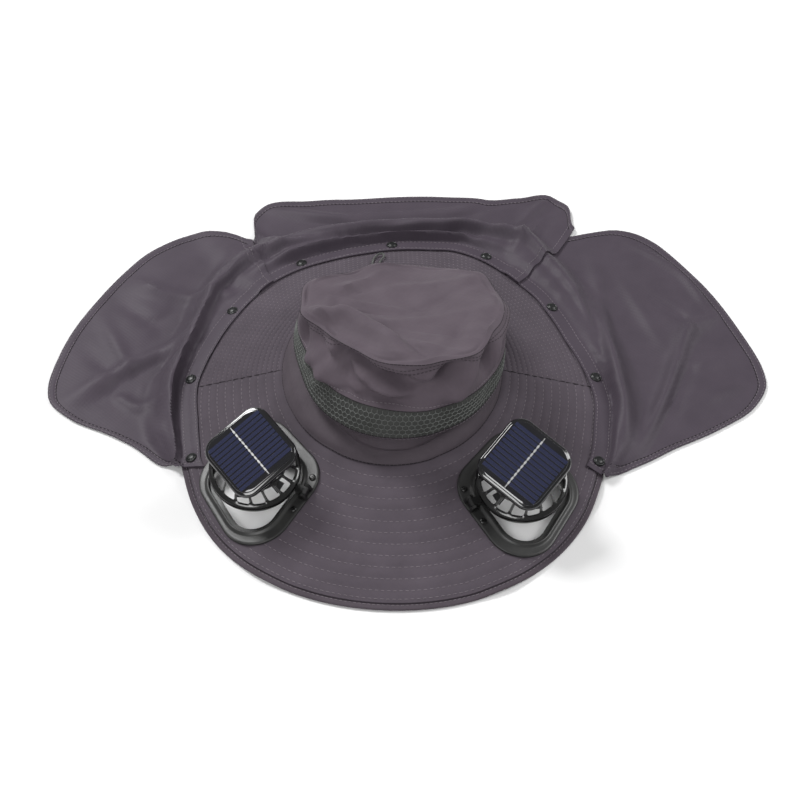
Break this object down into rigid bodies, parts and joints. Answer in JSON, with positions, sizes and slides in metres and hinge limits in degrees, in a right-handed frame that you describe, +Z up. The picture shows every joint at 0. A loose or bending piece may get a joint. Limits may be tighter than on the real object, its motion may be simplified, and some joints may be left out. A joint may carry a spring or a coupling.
{
  "type": "solar fan hat",
  "caption": "Bucket hat with a wide brim, a detachable neck flap in lapped panels, a mesh vent band in the crown and tilting solar fans on the brim.",
  "frame": {"origin": "on the surface the hat lies on, under the middle of the head opening", "axes": "+Z up out of the crown, -Y towards the front of the brim, +X across, along the longest extent"},
  "size_m": [0.6002, 0.4738, 0.1236],
  "materials": {
    "fabric": "matte woven polyester",
    "mesh_fabric": "knitted mesh",
    "black_plastic": "satin moulded",
    "snap_plastic": "satin",
    "solar_cell": "glossy resin over dark cells",
    "cord": "elastic braid",
    "screw_steel": "black finish"
  },
  "bodies": {
    "hat": {"brim_back": "fabric", "brim_binding": "fabric", "brim_front": "fabric", "crown_lower_band": "fabric", "crown_side": "fabric", "crown_top": "fabric", "drawcord": "cord", "flap_back": "fabric", "flap_left": "fabric", "flap_right": "fabric", "left_flange": "black_plastic", "left_hinge_ear_back": "black_plastic", "left_hinge_ear_front": "black_plastic", "left_hinge_pin": "screw_steel", "left_screw_back": "screw_steel", "left_screw_front": "screw_steel", "mesh_band": "mesh_fabric", "right_flange": "black_plastic", "right_hinge_ear_back": "black_plastic", "right_hinge_ear_front": "black_plastic", "right_hinge_pin": "screw_steel", "right_screw_back": "screw_steel", "right_screw_front": "screw_steel", "snap_1": "snap_plastic", "snap_2": "snap_plastic", "snap_3": "snap_plastic", "snap_4": "snap_plastic", "snap_5": "snap_plastic", "snap_6": "snap_plastic", "snap_7": "snap_plastic", "snap_8": "snap_plastic", "snap_9": "snap_plastic"},
    "left_fan_head": {"left_hinge_arm": "black_plastic", "left_guard": "black_plastic", "left_motor": "black_plastic", "left_panel_tray": "black_plastic", "left_solar_cell": "solar_cell"},
    "left_rotor_body": {"left_rotor": "black_plastic"},
    "right_fan_head": {"right_hinge_arm": "black_plastic", "right_guard": "black_plastic", "right_motor": "black_plastic", "right_panel_tray": "black_plastic", "right_solar_cell": "solar_cell"},
    "right_rotor_body": {"right_rotor": "black_plastic"}
  },
  "joints": [
    {"name": "right_fan_tilt", "type": "hinge", "parent": "hat", "child": "right_fan_head", "pos_m": [0.06209, -0.13894, 0.02684], "axis": [0.4467, -0.8671, -0.2204], "range_deg": [-8, 70]},
    {"name": "right_rotor_spin", "type": "hinge", "parent": "right_fan_head", "child": "right_rotor_body", "pos_m": [0.101, -0.1203, 0.03239], "axis": [-0.0078, -0.2501, 0.9682], "continuous": true},
    {"name": "left_fan_tilt", "type": "hinge", "parent": "hat", "child": "left_fan_head", "pos_m": [-0.06725, -0.1277, 0.02769], "axis": [0.4457, 0.8664, 0.2253], "range_deg": [-8, 70]},
    {"name": "left_rotor_spin", "type": "hinge", "parent": "left_fan_head", "child": "left_rotor_body", "pos_m": [-0.10619, -0.10899, 0.03275], "axis": [-0.0044, -0.2496, 0.9683], "continuous": true}
  ]
}
